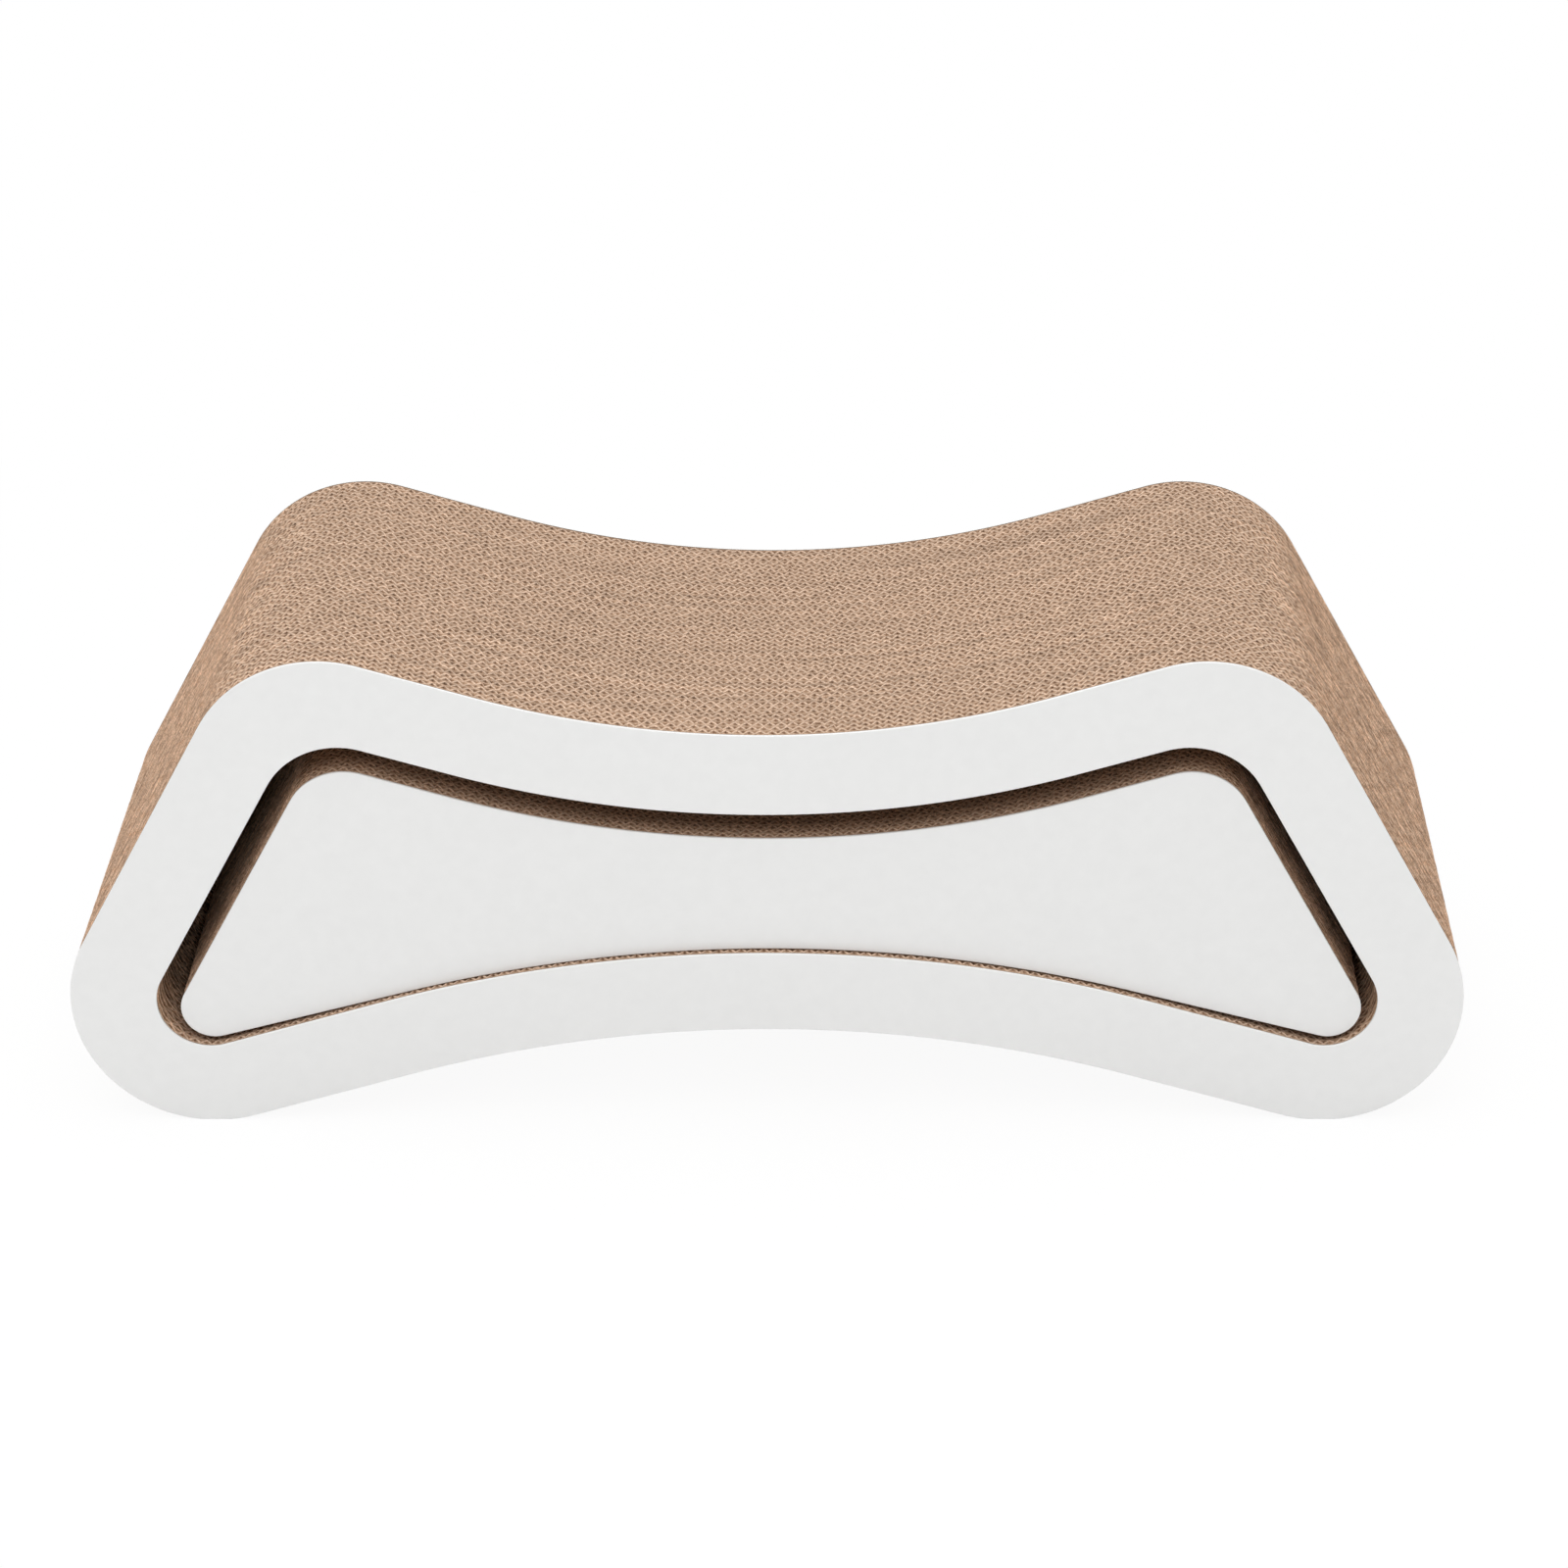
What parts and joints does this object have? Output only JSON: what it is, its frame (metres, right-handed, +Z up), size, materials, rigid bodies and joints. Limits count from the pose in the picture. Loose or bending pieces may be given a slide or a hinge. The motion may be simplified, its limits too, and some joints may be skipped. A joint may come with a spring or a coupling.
{
  "type": "cardboard cat lounge",
  "caption": "Corrugated cardboard cat bed and scratcher: a bow-tie ring with a saddle top and an arched base, and a matching insert that slides out of its opening; white boards on both faces.",
  "frame": {"origin": "on the floor, under the middle of the ring", "axes": "+X along the length, to the right of someone facing the front; +Y from the front face to the back face; +Z up"},
  "size_m": [0.5998, 0.1952, 0.22],
  "materials": {
    "kraft_corrugated_board": "matte",
    "white_cover_board": "satin"
  },
  "bodies": {
    "ring": {"ring_front_cover": "white_cover_board", "ring_ply_pack_01": "kraft_corrugated_board", "ring_ply_pack_02": "kraft_corrugated_board", "ring_ply_pack_03": "kraft_corrugated_board", "ring_ply_pack_04": "kraft_corrugated_board", "ring_ply_pack_05": "kraft_corrugated_board", "ring_ply_pack_06": "kraft_corrugated_board", "ring_ply_pack_07": "kraft_corrugated_board", "ring_ply_pack_08": "kraft_corrugated_board", "ring_ply_pack_09": "kraft_corrugated_board", "ring_ply_pack_10": "kraft_corrugated_board", "ring_ply_pack_11": "kraft_corrugated_board", "ring_ply_pack_12": "kraft_corrugated_board", "ring_back_cover": "white_cover_board"},
    "insert": {"insert_front_cover": "white_cover_board", "insert_ply_pack_01": "kraft_corrugated_board", "insert_ply_pack_02": "kraft_corrugated_board", "insert_ply_pack_03": "kraft_corrugated_board", "insert_ply_pack_04": "kraft_corrugated_board", "insert_ply_pack_05": "kraft_corrugated_board", "insert_ply_pack_06": "kraft_corrugated_board", "insert_ply_pack_07": "kraft_corrugated_board", "insert_ply_pack_08": "kraft_corrugated_board", "insert_ply_pack_09": "kraft_corrugated_board", "insert_ply_pack_10": "kraft_corrugated_board", "insert_ply_pack_11": "kraft_corrugated_board", "insert_ply_pack_12": "kraft_corrugated_board", "insert_back_cover": "white_cover_board"}
  },
  "joints": [
    {"name": "insert_slide", "type": "slide", "parent": "ring", "child": "insert", "axis": [0, -1, 0], "range_m": [-0.2, 0.2]}
  ]
}
